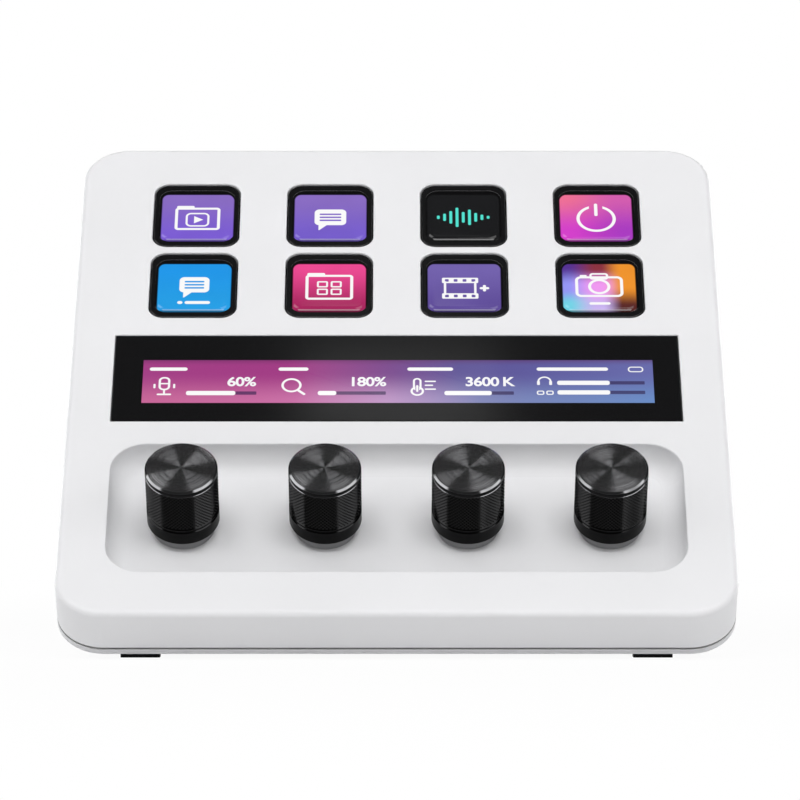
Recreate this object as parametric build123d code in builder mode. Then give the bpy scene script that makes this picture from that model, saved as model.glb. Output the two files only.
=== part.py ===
"""Desk macro keypad: a sloped slab with eight keys, a touch strip and four push knobs, on a stand.

World frame, in millimetres: X to the right, Y to the back, Z up, the origin on the table under
the middle of the object. The slab is built on a tilted plane of its own: x to the right, v up the
panel from its front edge, and w out of the panel, so depths inside the slab are negative w.
"""

from build123d import *
from math import cos, pi, radians, sin, tan
import os

os.makedirs("parts", exist_ok=True)

# ---- the slab ----
body_width = 140.0
body_depth = 138.0  # from the panel's front edge to the back of the stand
panel_tilt = 44.0  # degrees from the table
front_edge_height = 9.7  # of the panel's front edge above the table
corner_radius = 10.0
edge_radius = 1.2  # round the panel's outer edge
opening_edge_radius = 0.3  # round the key openings, the window and the tray
front_wall = 2.4
side_wall = 2.4
shell_depth = 10.2
seam_gap = 0.4  # shadow line between the top shell and the back cover
cover_rim = 1.4
belly_inset = 9.0
cover_wall = 2.2
lip_wall = 1.2
lip_height = 2.4
lip_gap = 0.15

# ---- keys ----
key_columns = 4
key_pitch = 29.6  # between columns; the knobs share it
key_opening_width = 19.2
key_opening_length = 20.9
key_opening_radius = 3.4
key_row_bridge = 2.0  # between the two rows' openings
keys_to_far_edge = 11.95
key_gap = 0.25  # between a cap and its opening
key_recess = 0.2  # of the cap's top below the panel
key_plate = 1.9
tab_thickness = 0.8
key_skirt_wall = 0.8
key_edge_radius = 0.35
key_travel = 0.9
tab_reach = 1.4
tab_length = 12.0
tab_play = 0.3  # under the front wall, when the key is up

# ---- key mat and board ----
mat_play = 0.1  # between a cap's skirt and the mat's lip
mat_lip_inset = 0.1  # of the lip's outside from the cap's
mat_floor_gap = 0.2  # between a pressed cap and the mat's sheet
mat_sheet = 0.5
mat_width = 122.0
mat_margin = 1.9  # past the keys, along the slope
key_board_thickness = 1.0

# ---- touch strip ----
strip_width = 121.2
strip_length = 26.4
tray_to_strip = 7.0
strip_to_keys = 5.65
strip_glass_thickness = 1.8
strip_recess = 0.1
strip_gap = 0.12
strip_glass_chamfer = 0.12
strip_window_width = 111.0
strip_window_inset = 4.2  # of the window from the glass's near edge
strip_window_length = 15.0
strip_frame_wall = 1.6
strip_frame_depth = 1.0
touch_sensor_thickness = 0.7
touch_sensor_gap = 0.2

# ---- display ----
display_gap = 0.1
lcd_width = 118.0
lcd_inset = 2.0  # of the panel from the glass's near edge
lcd_length = 76.0
lcd_thickness = 2.0
backlight_thickness = 2.7
backlight_inset = 0.8
carrier_wall = 1.2  # at the carrier's ends; its sides reach out to the key board's edges
carrier_floor = 1.2
carrier_gap = 0.3
ear_radius = 2.8
ear_thickness = 1.8
boss_gap = 0.2  # between the bosses and the key board
ear_margin = 4.7  # of the end ears from the carrier's ends
boss_radius = 2.7

# ---- knob tray ----
tray_width = 120.0
tray_near = 11.9
tray_length = 37.3
tray_depth = 5.5
tray_radius = 7.5
tray_floor_radius = 4.5
tray_wall = 2.2
tray_floor = 2.2
plinth_radius = 6.4
plinth_gap = 0.4  # between a plinth and a pushed knob

# ---- knobs and encoders ----
knob_setback = 18.1  # of the knob axes from the tray's near edge
knob_radius = 7.55
knob_height = 15.0
knob_lift = 2.5  # of the knob's underside above the tray floor
knob_top_chamfer = 0.45
knob_groove_height = 3.3
knob_groove_width = 0.5
knob_groove_depth = 0.3
knob_bottom_radius = 0.25
knob_travel = 0.5
shaft_end_gap = 0.3
shaft_chamfer = 0.3
shaft_radius = 3.0
shaft_flat = 1.5  # from the shaft's axis to its flat
shaft_fit = 0.03  # radial, shaft in knob
shaft_running_fit = 0.08  # radial, shaft in encoder
shaft_in_knob = 11.5
bushing_wall = 0.42
bushing_hole_gap = 0.25
bushing_drop = 0.1  # of the bushing's end under the plinth's top
encoder_width = 12.0
encoder_gap = 0.1  # under the tray
encoder_roof = 2.0
encoder_floor = 1.0
rotor_flange = 1.3
rotor_thickness = 1.0
rotor_play = 0.3
rotor_side_gap = 0.4
plunger_gap = 0.1
plunger_radius = 3.5
plunger_thickness = 1.0
plunger_stem_radius = 1.5
plunger_stem = 0.4
plunger_end_gap = 0.2  # under a pushed plunger
encoder_board_width = 112.0
encoder_board_length = 26.0
board_thickness = 1.6

# ---- main board ----
main_board_inset = 3.8  # from the display's near edge
main_board_length = 58.0
main_board_width = 96.0
main_board_lift = 2.9  # above the cover's inside
main_hole_inset = 4.0
processor_size = 10.0
processor_spot = (-22.0, 92.0)
memory_width = 8.0
memory_length = 6.0
memory_spots = ((24.0, 96.0), (24.0, 84.0))
chip_height = 0.9

# ---- ribbons ----
ribbon_width = 18.0
ribbon_thickness = 0.15
ribbon_setback = 6.0  # of the display's ribbon from the display's near edge
ribbon_slot_length = 3.0
ribbon_slot_gap = 1.0  # at each side of the ribbon
ribbon_bend = 0.8
display_ribbon_run = 5.0
encoder_ribbon_reach = 24.0  # x of the ribbon between the boards
ribbon_slack = 0.5
ribbon_slack_bend = 4.0
socket_end = 2.0  # of a socket past its ribbon
socket_length = 4.0
socket_height = 1.2
socket_margin = 1.0

# ---- screws ----
screw_radius = 1.0
screw_hole_gap = 0.05
screw_head_radius = 1.9
screw_head = 1.2
head_gap = 0.2
screw_tip_gap = 0.3  # past a screw's end in its pilot hole
carrier_screw_bite = 3.2
screw_bite = 5.0
post_radius = 2.6
post_sink = 0.4  # of the cover's posts into the tray's tub
post_reach = 50.0
pass_hole_radius = 1.3

# ---- stand ----
stand_width = 116.0
stand_wall = 2.5
stand_near = 16.0  # v where the stand starts under the slab
stand_to_far_edge = 26.0  # from the stand's end to the panel's far edge
stand_corner_radius = 6.0
base_thickness = 2.5
base_gap = 0.25
ballast_width = 86.0
ballast_length = 58.0
ballast_thickness = 1.5
ballast_corner_radius = 3.0
ballast_back = 38.0  # y of the ballast's back edge
lead_hole_radius = 3.5
stand_screw_reach = 40.0
stand_screw_rows = (34.0, 104.0)
stand_boss_drop = 4.0  # of the bosses under the stand's top wall
base_boss_radius = 3.6
base_boss_height = 9.0
base_boss_sink = 0.3  # of the bosses into the stand's sides
base_screw_rows = (-30.0, 50.0)

# ---- feet ----
front_foot_width = 8.1
front_foot_length = 5.2
front_foot_reach = 52.9
front_foot_back = 14.0  # of the foot's front edge behind the panel's front edge
foot_pocket = 0.7
foot_gap = 0.1
foot_corner_radius = 0.6
rear_foot_radius = 6.0
rear_foot_edge = 0.4
rear_foot_reach = 42.0
rear_foot_row = 56.0

# ---- USB-C port and its board ----
port_width = 8.94
port_height = 3.26
port_length = 7.35
port_shell = 0.3
port_tongue_width = 6.69
port_tongue_thickness = 0.7
port_tongue_setback = 0.6
port_level = 12.0  # z of the port's middle
port_mouth = 57.0  # y of the port's mouth
tunnel_width = 13.4
tunnel_height = 7.6
tunnel_wall = 2.0
tunnel_back_wall = 1.5
tunnel_back_gap = 0.2  # the port's mouth stands this far back from the tunnel's end wall
tunnel_corner_radius = 1.2
usb_board_width = 24.0
usb_board_length = 20.0
usb_board_thickness = 1.2
usb_post_radius = 2.4
usb_screw_reach = 8.5
usb_screw_row = 44.0
lead_radius = 1.5
lead_socket_offset = 8.0  # of the lead's socket from the main board's middle
lead_socket_width = 8.0
lead_socket_length = 5.0
lead_socket_height = 4.0
lead_socket_drop = 2.2  # of the socket under the main board
lead_straight = 15.0  # of the lead out of that socket
lead_first_run = 12.0  # out of the socket on the USB board
lead_bends = ((18.0, 24.0), (18.5, 39.0))  # (y, z) of its corners on the way up the stand
usb_board_gap = 0.5
port_gap = 0.2
port_back_wall = 0.8

# ---- how far a cutter runs past what it cuts ----
cut_past = 1.0

# ---- places up the panel, from its front edge ----
tray_far = tray_near + tray_length
knob_row = tray_near + knob_setback
strip_near = tray_far + tray_to_strip
strip_window_near = strip_near + strip_window_inset
lcd_near = strip_near + lcd_inset
key_row_near = strip_near + strip_length + strip_to_keys + key_opening_length / 2
key_row_far = key_row_near + key_opening_length + key_row_bridge
panel_length = key_row_far + key_opening_length / 2 + keys_to_far_edge
post_row = tray_far + tray_wall + post_radius - post_sink
main_board_near = lcd_near + main_board_inset
stand_far = panel_length - stand_to_far_edge

# ---- the slab's own plane ----
tilt_sin = sin(radians(panel_tilt))
tilt_cos = cos(radians(panel_tilt))
tilt_tan = tan(radians(panel_tilt))
edge_setback = edge_radius * (tilt_sin + tilt_cos - 1)  # the rounding takes this off the depth
front_edge_y = -body_depth / 2 - edge_setback
panel = Plane(
    origin=(0, front_edge_y, front_edge_height),
    x_dir=(1, 0, 0),
    z_dir=(0, -tilt_sin, tilt_cos),
)
outward = Axis(panel.origin, panel.z_dir)


def level(w):
    """The plane parallel to the panel at height w; negative w is inside the slab."""
    return panel.offset(w)


def spot(v, w):
    """The world (y, z) of the point at v and w in the slab's middle plane."""
    return (
        front_edge_y + v * tilt_cos - w * tilt_sin,
        front_edge_height + v * tilt_sin + w * tilt_cos,
    )


def write(builder, label):
    """Names a finished piece and writes its STEP file."""
    builder.part.label = label
    export_step(builder.part, f"parts/{label}.step")


pilot_radius = screw_radius + screw_hole_gap
column_x = [(i - (key_columns - 1) / 2) * key_pitch for i in range(key_columns)]
key_spots = [(x, key_row_far) for x in column_x] + [(x, key_row_near) for x in column_x]
knob_spots = [(x, knob_row) for x in column_x]
panel_middle = (0, panel_length / 2)

# ---- levels through the slab, from the front inwards ----
key_top = -key_recess
tab_top = -front_wall - tab_play
key_skirt_end = tab_top - tab_thickness
key_skirt_depth = key_top - key_skirt_end
lip_top = key_skirt_end - mat_play
mat_top = key_skirt_end - key_travel - mat_floor_gap
key_board_top = mat_top - mat_sheet
key_board_under = key_board_top - key_board_thickness
lcd_top = key_board_under - display_gap
backlight_top = lcd_top - lcd_thickness
carrier_top = backlight_top - backlight_thickness
carrier_under = carrier_top - carrier_floor
tray_level = -tray_depth
tray_under = -tray_depth - tray_floor
knob_under = tray_level + knob_lift
plinth_top = knob_under - knob_travel - plinth_gap
encoder_top = tray_under - encoder_gap
rotor_top = encoder_top - encoder_roof - rotor_play
rotor_under = rotor_top - rotor_thickness
plunger_top = rotor_under - plunger_gap
plunger_end = plunger_top - plunger_thickness - plunger_stem
encoder_bottom = plunger_end - knob_travel - plunger_end_gap
encoder_under = encoder_bottom - encoder_floor
encoder_board_under = encoder_under - board_thickness
cover_top = -shell_depth - seam_gap
rim_under = cover_top - cover_rim
belly_under = rim_under - belly_inset * tilt_tan  # so the front bevel lies level with the table
belly_inside = belly_under + cover_wall
main_board_under = belly_inside + main_board_lift
main_board_top = main_board_under + board_thickness

# ---- places that follow from these ----
key_cap_width = key_opening_width - 2 * key_gap
key_cap_length = key_opening_length - 2 * key_gap
key_cap_radius = key_opening_radius - key_gap
lip_width = key_cap_width - 2 * mat_lip_inset
lip_length = key_cap_length - 2 * mat_lip_inset
rows_middle = (key_row_near + key_row_far) / 2
mat_length = key_row_far - key_row_near + key_opening_length + 2 * mat_margin
strip_middle = (0, strip_near + strip_length / 2)
window_middle = (0, strip_window_near + strip_window_length / 2)
lcd_middle = (0, lcd_near + lcd_length / 2)
carrier_width = mat_width
ear_reach = mat_width / 2 + boss_gap + boss_radius
bushing_radius = shaft_radius + shaft_running_fit + bushing_wall
rotor_radius = shaft_radius + rotor_flange
base_screw_reach = stand_width / 2 - stand_wall - base_boss_radius + base_boss_sink
carrier_near = lcd_near - carrier_gap - carrier_wall
carrier_far = max(lcd_near + lcd_length + carrier_gap + carrier_wall, rows_middle + mat_length / 2)
carrier_length = carrier_far - carrier_near
carrier_middle = (0, carrier_near + carrier_length / 2)
ear_rows = (carrier_near + ear_margin, carrier_middle[1], carrier_far - ear_margin)
ear_spots = [(side * ear_reach, v) for side in (-1, 1) for v in ear_rows]
tray_middle = (0, tray_near + tray_length / 2)
post_spots = [(x, post_row) for x in (-post_reach, 0, post_reach)]
encoder_screw_spots = [((x1 + x2) / 2, knob_row) for x1, x2 in zip(column_x, column_x[1:])]
main_middle = (0, main_board_near + main_board_length / 2)
main_hole_x = main_board_width / 2 - main_hole_inset
main_hole_v = main_board_length / 2 - main_hole_inset
main_hole_spots = [
    (sx * main_hole_x, main_middle[1] + sv * main_hole_v) for sx in (-1, 1) for sv in (-1, 1)
]
lead_row = main_middle[1] + lead_socket_offset
lead_spot = (0, lead_row)
stand_clear = spot(0, rim_under)[1]  # the bevel, the stand and its plate share one level
front_foot_middle_y = front_edge_y + front_foot_back + front_foot_length / 2
front_foot_spots = [(side * front_foot_reach, front_foot_middle_y) for side in (-1, 1)]
stand_screw_spots = [(side * stand_screw_reach, v) for side in (-1, 1) for v in stand_screw_rows]


# ---- shapes that repeat ----
def disc(plane, spots, radius, height, mode=Mode.ADD):
    """Round bars of one radius and height on each spot of a plane, in the part in hand."""
    with BuildSketch(plane) as rounds:
        with Locations(spots):
            Circle(radius)
    extrude(rounds.sketch, amount=height, mode=mode)


def block(plane, spots, width, length, height, mode=Mode.ADD):
    """Square-cornered blocks on each spot of a plane, in the part in hand."""
    with BuildSketch(plane) as squares:
        with Locations(spots):
            Rectangle(width, length)
    extrude(squares.sketch, amount=height, mode=mode)


def rounded(plane, spots, width, length, radius, height, mode=Mode.ADD):
    """Round-cornered blocks on each spot of a plane, in the part in hand."""
    with BuildSketch(plane) as rounds:
        with Locations(spots):
            RectangleRounded(width, length, radius)
    extrude(rounds.sketch, amount=height, mode=mode)


def slab(w, inset, height, taper=0.0, mode=Mode.ADD):
    """A layer of the slab's own outline, moved in by inset, from level w, in the part in hand."""
    with BuildSketch(level(w)) as outline:
        with Locations(panel_middle):
            RectangleRounded(
                body_width - 2 * inset, panel_length - 2 * inset, corner_radius - inset
            )
    extrude(outline.sketch, amount=height, taper=taper, mode=mode)


def screws(plane, spots, pass_length, bite):
    """Pan-head screws that stand on a plane with their heads up and their shanks below it."""
    disc(plane, spots, screw_head_radius, screw_head)
    disc(plane, spots, screw_radius, -(pass_length + bite))


# ---- top shell ----
with BuildPart() as tray_pocket:
    rounded(
        level(tray_level), tray_middle, tray_width, tray_length, tray_radius,
        tray_depth + cut_past,
    )
    fillet(tray_pocket.edges().group_by(outward)[0], tray_floor_radius)

with BuildPart() as top_shell:
    slab(0, 0, -shell_depth)
    fillet(top_shell.edges().group_by(outward)[-1], edge_radius)
    slab(-front_wall, side_wall, front_wall - shell_depth, mode=Mode.SUBTRACT)
    # the tray's tub, and the frame that backs the strip's ledge
    rounded(
        level(-front_wall), tray_middle, tray_width + 2 * tray_wall, tray_length + 2 * tray_wall,
        tray_radius + tray_wall, tray_under + front_wall,
    )
    block(
        level(-front_wall), strip_middle, strip_width + 2 * strip_frame_wall,
        strip_length + 2 * strip_frame_wall, -strip_frame_depth,
    )
    # bosses for the carrier, posts for the cover and for the encoder board
    disc(level(-front_wall), ear_spots, boss_radius, key_board_under + front_wall)
    disc(level(-front_wall), post_spots, post_radius, belly_inside + front_wall)
    disc(level(tray_under), encoder_screw_spots, post_radius, encoder_under - tray_under)
    # the tray, its plinths and the holes for the bushings
    add(tray_pocket.part, mode=Mode.SUBTRACT)
    disc(level(tray_level), knob_spots, plinth_radius, plinth_top - tray_level)
    disc(
        level(plinth_top), knob_spots, bushing_radius + bushing_hole_gap,
        tray_under - plinth_top, Mode.SUBTRACT,
    )
    # key openings, the strip's rebate and its window
    rounded(
        panel, key_spots, key_opening_width, key_opening_length, key_opening_radius,
        -front_wall, Mode.SUBTRACT,
    )
    block(
        panel, strip_middle, strip_width + 2 * strip_gap, strip_length + 2 * strip_gap,
        -(strip_recess + strip_glass_thickness), Mode.SUBTRACT,
    )
    block(
        panel, window_middle, strip_window_width, strip_window_length,
        -(front_wall + strip_frame_depth), Mode.SUBTRACT,
    )
    # pilot holes
    disc(level(key_board_under), ear_spots, pilot_radius, -key_board_under - front_wall, Mode.SUBTRACT)
    disc(level(belly_inside), post_spots, pilot_radius, screw_bite + screw_tip_gap, Mode.SUBTRACT)
    disc(
        level(encoder_under), encoder_screw_spots, pilot_radius, screw_bite + screw_tip_gap,
        Mode.SUBTRACT,
    )
    fillet(top_shell.faces().sort_by(outward)[-1].inner_wires().edges(), opening_edge_radius)
write(top_shell, "top_shell")

# ---- back cover ----
lip_inset = side_wall + lip_gap + lip_wall
bevel_start = rim_under - (lip_inset - cover_wall / tilt_sin) * tilt_tan
bevel_taper = 90 - panel_tilt

with BuildPart() as back_cover:
    slab(cover_top, 0, -cover_rim)
    slab(rim_under, 0, belly_under - rim_under, bevel_taper)
    slab(cover_top, side_wall + lip_gap, lip_height)
    slab(cover_top + lip_height, lip_inset, bevel_start - cover_top - lip_height, mode=Mode.SUBTRACT)
    slab(bevel_start, lip_inset, belly_inside - bevel_start, bevel_taper, Mode.SUBTRACT)
    # standoffs for the main board
    disc(level(belly_inside), main_hole_spots, post_radius, main_board_lift)
    disc(level(main_board_under), main_hole_spots, pilot_radius, -main_board_lift, Mode.SUBTRACT)
    # holes: posts, stand screws and the USB lead
    disc(level(belly_under), post_spots, screw_head_radius + head_gap, screw_head, Mode.SUBTRACT)
    disc(
        level(belly_under), post_spots + stand_screw_spots, pass_hole_radius, cover_wall,
        Mode.SUBTRACT,
    )
    disc(level(belly_under), lead_spot, lead_hole_radius, cover_wall, Mode.SUBTRACT)
    # pockets for the front feet, in the bevel that lies level with the table
    rounded(
        Plane.XY.offset(stand_clear), front_foot_spots, front_foot_width + 2 * foot_gap,
        front_foot_length + 2 * foot_gap, foot_corner_radius, foot_pocket, Mode.SUBTRACT,
    )
write(back_cover, "back_cover")

# ---- keys ----
skirt_inside = (
    key_cap_width - 2 * key_skirt_wall,
    key_cap_length - 2 * key_skirt_wall,
    key_cap_radius - key_skirt_wall,
)

for number, (x, v) in enumerate(key_spots, 1):
    with BuildPart() as key_cap:
        rounded(
            level(key_top), (x, v), key_cap_width, key_cap_length, key_cap_radius,
            -key_skirt_depth,
        )
        fillet(key_cap.edges().group_by(outward)[-1], key_edge_radius)
        block(
            level(key_skirt_end), (x, v), key_cap_width + 2 * tab_reach, tab_length,
            tab_top - key_skirt_end,
        )
        rounded(
            level(key_skirt_end), (x, v), *skirt_inside, key_skirt_depth - key_plate,
            Mode.SUBTRACT,
        )
    write(key_cap, f"key_cap_{number}")

with BuildPart() as key_mat:
    block(level(mat_top), (0, rows_middle), mat_width, mat_length, -mat_sheet)
    rounded(level(mat_top), key_spots, lip_width, lip_length, key_cap_radius, lip_top - mat_top)
    rounded(level(lip_top), key_spots, *skirt_inside, key_board_top - lip_top, Mode.SUBTRACT)
write(key_mat, "key_mat")

with BuildPart() as key_board:
    block(level(key_board_top), (0, rows_middle), mat_width, mat_length, -key_board_thickness)
    rounded(level(key_board_top), key_spots, *skirt_inside, -key_board_thickness, Mode.SUBTRACT)
write(key_board, "key_board")

# ---- touch strip ----
with BuildPart() as strip_glass:
    block(level(-strip_recess), strip_middle, strip_width, strip_length, -strip_glass_thickness)
    chamfer(strip_glass.edges().group_by(outward)[-1], strip_glass_chamfer)
write(strip_glass, "strip_glass")

with BuildPart() as touch_sensor:
    block(
        level(-strip_recess - strip_glass_thickness),
        window_middle,
        strip_window_width - 2 * touch_sensor_gap,
        strip_window_length - 2 * touch_sensor_gap,
        -touch_sensor_thickness,
    )
write(touch_sensor, "touch_sensor")

# ---- display and its carrier ----
with BuildPart() as lcd_panel:
    block(level(lcd_top), lcd_middle, lcd_width, lcd_length, -lcd_thickness)
write(lcd_panel, "lcd_panel")

with BuildPart() as lcd_backlight:
    block(
        level(backlight_top),
        lcd_middle,
        lcd_width - 2 * backlight_inset,
        lcd_length - 2 * backlight_inset,
        -backlight_thickness,
    )
write(lcd_backlight, "lcd_backlight")

ribbon_slot = (0, lcd_near + ribbon_setback)
with BuildPart() as display_carrier:
    block(
        level(key_board_under), carrier_middle, carrier_width, carrier_length,
        carrier_under - key_board_under,
    )
    block(
        level(key_board_under), lcd_middle, lcd_width + 2 * carrier_gap,
        lcd_length + 2 * carrier_gap, carrier_top - key_board_under, Mode.SUBTRACT,
    )
    # ears with their webs
    disc(level(key_board_under), ear_spots, ear_radius, -ear_thickness)
    web = ear_reach - carrier_width / 2 + carrier_wall
    web_x = ear_reach - web / 2
    web_spots = [(side * web_x, v) for side in (-1, 1) for v in ear_rows]
    block(level(key_board_under), web_spots, web, 2 * ear_radius, -ear_thickness)
    disc(level(key_board_under), ear_spots, pass_hole_radius, -ear_thickness, Mode.SUBTRACT)
    block(
        level(carrier_top), ribbon_slot, ribbon_width + 2 * ribbon_slot_gap, ribbon_slot_length,
        -carrier_floor, Mode.SUBTRACT,
    )
write(display_carrier, "display_carrier")

with BuildPart() as carrier_screws:
    ears_under = level(key_board_under - ear_thickness)
    disc(ears_under, ear_spots, screw_head_radius, -screw_head)
    disc(ears_under, ear_spots, screw_radius, ear_thickness + carrier_screw_bite)
write(carrier_screws, "carrier_screws")

with BuildPart() as cover_screws:
    heads = level(belly_under + screw_head)
    disc(heads, post_spots, screw_head_radius, -screw_head)
    disc(heads, post_spots, screw_radius, cover_wall - screw_head + screw_bite)
write(cover_screws, "cover_screws")

# ---- encoders and knobs ----
for number, (x, v) in enumerate(knob_spots, 1):
    with BuildPart() as encoder_body:
        block(level(encoder_top), (x, v), encoder_width, encoder_width, encoder_under - encoder_top)
        disc(level(encoder_top), (x, v), bushing_radius, plinth_top - bushing_drop - encoder_top)
        bore_radius = shaft_radius + shaft_running_fit
        cavity_top = encoder_top - encoder_roof
        disc(level(plinth_top), (x, v), bore_radius, cavity_top - plinth_top, Mode.SUBTRACT)
        disc(
            level(cavity_top), (x, v), rotor_radius + rotor_side_gap, encoder_bottom - cavity_top,
            Mode.SUBTRACT,
        )
    write(encoder_body, f"encoder_body_{number}")

    with BuildPart() as encoder_shaft:
        disc(level(rotor_top), (x, v), rotor_radius, -rotor_thickness)
        disc(level(rotor_top), (x, v), shaft_radius, knob_under + shaft_in_knob - rotor_top)
        block(
            level(knob_under), (x, v + shaft_flat + shaft_radius / 2), 2 * shaft_radius, shaft_radius,
            shaft_in_knob, Mode.SUBTRACT,
        )
        chamfer(encoder_shaft.edges().group_by(outward)[-1], shaft_chamfer)
    write(encoder_shaft, f"encoder_shaft_{number}")

    with BuildPart() as switch_plunger:
        disc(level(plunger_top), (x, v), plunger_radius, -plunger_thickness)
        disc(level(plunger_top - plunger_thickness), (x, v), plunger_stem_radius, -plunger_stem)
    write(switch_plunger, f"switch_plunger_{number}")

    with BuildPart() as knob:
        disc(level(knob_under), (x, v), knob_radius, knob_height)
        chamfer(knob.edges().group_by(outward)[-1], knob_top_chamfer)
        fillet(knob.edges().group_by(outward)[0], knob_bottom_radius)
        with BuildSketch(level(knob_under + knob_groove_height)):
            with Locations((x, v)):
                Circle(knob_radius + cut_past)
                Circle(knob_radius - knob_groove_depth, mode=Mode.SUBTRACT)
        extrude(amount=knob_groove_width, mode=Mode.SUBTRACT)
        # a D-shaped bore for the shaft
        with BuildSketch(level(knob_under)):
            with Locations((x, v)):
                Circle(shaft_radius + shaft_fit)
            with Locations((x, v + shaft_flat + shaft_fit + shaft_radius / 2)):
                Rectangle(3 * shaft_radius, shaft_radius, mode=Mode.SUBTRACT)
        extrude(amount=shaft_in_knob + shaft_end_gap, mode=Mode.SUBTRACT)
    write(knob, f"knob_{number}")

with BuildPart() as encoder_board:
    block(
        level(encoder_under), (0, knob_row), encoder_board_width, encoder_board_length,
        -board_thickness,
    )
    disc(level(encoder_under), encoder_screw_spots, pass_hole_radius, -board_thickness, Mode.SUBTRACT)
write(encoder_board, "encoder_board")

with BuildPart() as encoder_screws:
    disc(level(encoder_board_under), encoder_screw_spots, screw_head_radius, -screw_head)
    disc(level(encoder_board_under), encoder_screw_spots, screw_radius, board_thickness + screw_bite)
write(encoder_screws, "encoder_screws")

# ---- main board ----
with BuildPart() as main_board:
    block(level(main_board_top), main_middle, main_board_width, main_board_length, -board_thickness)
    disc(level(main_board_top), main_hole_spots, pass_hole_radius, -board_thickness, Mode.SUBTRACT)
write(main_board, "main_board")

with BuildPart() as main_screws:
    screws(level(main_board_top), main_hole_spots, board_thickness, main_board_lift - screw_tip_gap)
write(main_screws, "main_screws")

with BuildPart() as main_chips:
    block(level(main_board_top), processor_spot, processor_size, processor_size, chip_height)
    block(level(main_board_top), memory_spots, memory_width, memory_length, chip_height)
write(main_chips, "main_chips")

# ---- ribbons and their sockets ----
socket_width = ribbon_width + 2 * socket_end
side = Plane(origin=panel.origin, x_dir=(0, tilt_cos, tilt_sin), z_dir=(1, 0, 0))
display_socket_v = ribbon_slot[1] + display_ribbon_run
encoder_socket_near = knob_row + encoder_board_length / 2 - socket_length - socket_margin
encoder_socket_far = main_board_near + socket_margin + socket_length
encoder_ribbon_level = encoder_board_under - socket_height / 2
main_ribbon_level = main_board_under - socket_height / 2


def ribbon(points, radius, x, width):
    """A flat ribbon along (v, w) points, centred on x, in the part in hand."""
    with BuildSketch(side.offset(x)) as edge_on:
        with BuildLine():
            FilletPolyline(*points, radius=radius)
        trace(line_width=ribbon_thickness)
    extrude(edge_on.sketch, amount=width / 2, both=True)


with BuildPart() as display_ribbon:
    turn_level = main_board_top + socket_height / 2
    ribbon(
        [(ribbon_slot[1], carrier_top), (ribbon_slot[1], turn_level), (display_socket_v, turn_level)],
        ribbon_bend, 0, ribbon_width,
    )
write(display_ribbon, "display_ribbon")

with BuildPart() as encoder_ribbon:
    gap_middle = (encoder_socket_near + socket_length + encoder_socket_far - socket_length) / 2
    ribbon(
        [
            (encoder_socket_near + socket_length, encoder_ribbon_level),
            (gap_middle, encoder_ribbon_level - ribbon_slack),
            (encoder_socket_far - socket_length, main_ribbon_level),
        ],
        ribbon_slack_bend, encoder_ribbon_reach, ribbon_width,
    )
write(encoder_ribbon, "encoder_ribbon")

with BuildPart() as ribbon_sockets:
    block(
        level(main_board_top), (0, display_socket_v + socket_length / 2),
        socket_width, socket_length, socket_height,
    )
    block(
        level(main_board_under), (encoder_ribbon_reach, encoder_socket_far - socket_length / 2),
        socket_width, socket_length, -socket_height,
    )
    block(
        level(encoder_board_under), (encoder_ribbon_reach, encoder_socket_near + socket_length / 2),
        socket_width, socket_length, -socket_height,
    )
write(ribbon_sockets, "ribbon_sockets")

# ---- stand: side outline in (y, z), its hollow and its shell ----
outline_near = spot(stand_near, belly_under)
outline_far = spot(stand_far, belly_under)
stand_back = body_depth / 2
back_lean = (stand_back - outline_far[0]) / (outline_far[1] - stand_clear)
back_wall_across = stand_wall * (1 + back_lean**2) ** 0.5  # the leaning wall, measured level
base_near = outline_near[0] + stand_wall
base_far = stand_back - back_lean * stand_wall - back_wall_across
base_middle = (0, (base_near + base_far) / 2)
base_level = stand_clear + base_thickness
inner_radius = stand_corner_radius - stand_wall
base_screw_spots = [(side_x * base_screw_reach, y) for side_x in (-1, 1) for y in base_screw_rows]
stand_boss_height = stand_wall + stand_boss_drop
tunnel_near = port_mouth + tunnel_back_gap - tunnel_back_wall
port_middle = (0, port_level)
back_edge_direction = Vector(0, outline_far[0] - stand_back, outline_far[1] - stand_clear)


def back_corners(builder):
    """The two leaning edges at the stand's back."""
    lean = Axis((0, 0, 0), back_edge_direction)
    return builder.edges().filter_by(lean).group_by(Axis.Y)[-1]


with BuildSketch(Plane.YZ) as stand_outline:
    with BuildLine():
        Polyline(
            outline_near, (outline_near[0], stand_clear), (stand_back, stand_clear), outline_far,
            close=True,
        )
    make_face()

with BuildSketch(Plane.YZ) as hollow_outline:
    add(stand_outline.sketch_local)
    offset(amount=-stand_wall, kind=Kind.INTERSECTION)

with BuildPart() as stand_hollow:
    extrude(hollow_outline.sketch, amount=stand_width / 2 - stand_wall, both=True)
    fillet(back_corners(stand_hollow), inner_radius)
    rounded(
        Plane.XY.offset(stand_clear), base_middle, stand_width - 2 * stand_wall,
        base_far - base_near, inner_radius, stand_wall,
    )
    # what the hollow leaves standing: the plug's tunnel and the screw bosses
    block(
        Plane.XZ.offset(-tunnel_near), port_middle, tunnel_width + 2 * tunnel_wall,
        tunnel_height + 2 * tunnel_wall, tunnel_near - stand_back, Mode.SUBTRACT,
    )
    disc(level(belly_under), stand_screw_spots, post_radius, -stand_boss_height, Mode.SUBTRACT)
    disc(
        Plane.XY.offset(base_level), base_screw_spots, base_boss_radius, base_boss_height,
        Mode.SUBTRACT,
    )

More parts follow.
